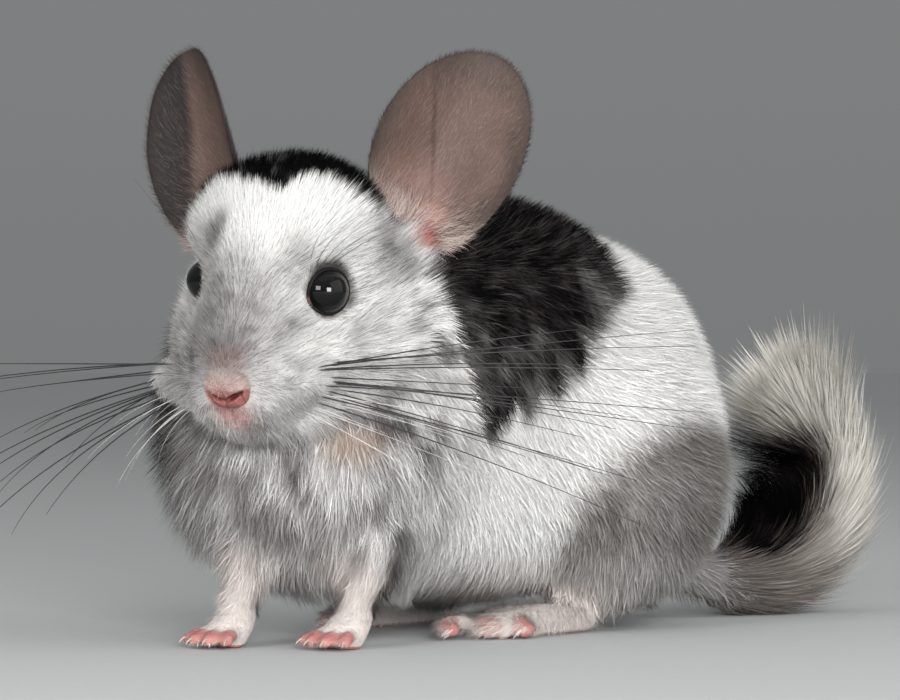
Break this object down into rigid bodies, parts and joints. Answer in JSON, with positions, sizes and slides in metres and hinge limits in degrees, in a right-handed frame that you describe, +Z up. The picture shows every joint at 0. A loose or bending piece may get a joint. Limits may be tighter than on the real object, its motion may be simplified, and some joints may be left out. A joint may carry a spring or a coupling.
{
  "type": "chinchilla",
  "caption": "Life-size still model of a domestic chinchilla with a mosaic coat, crouched on all fours with its plumed tail curled up behind it.",
  "frame": {"origin": "middle of the whole reach, on the floor", "axes": "+Z up, the animal faces -Y and its left side is +X"},
  "size_m": [0.1894, 0.2658, 0.1611],
  "materials": {
    "white_coat": "soft fur",
    "grey_coat": "soft fur",
    "black_coat": "soft fur",
    "tail_coat": "long soft fur",
    "ear_skin": "thin bare skin with fine down",
    "pink_skin": "bare skin",
    "eye": "wet gloss"
  },
  "bodies": {
    "root": {"head": "white_coat", "lower_jaw": "white_coat", "nose": "pink_skin", "eye_left": "eye", "eye_right": "eye", "ear_left": "ear_skin", "ear_right": "ear_skin", "whisker_pad_left": "white_coat", "whisker_pad_right": "white_coat", "neck": "black_coat", "torso": "grey_coat", "haunch_left": "white_coat", "haunch_right": "white_coat", "foreleg_left": "white_coat", "foreleg_right": "white_coat", "forepaw_left": "pink_skin", "forepaw_right": "pink_skin", "hind_foot_left": "pink_skin", "hind_foot_right": "pink_skin", "tail_root": "grey_coat", "tail_base": "grey_coat", "tail_plume": "tail_coat"}
  },
  "joints": []
}
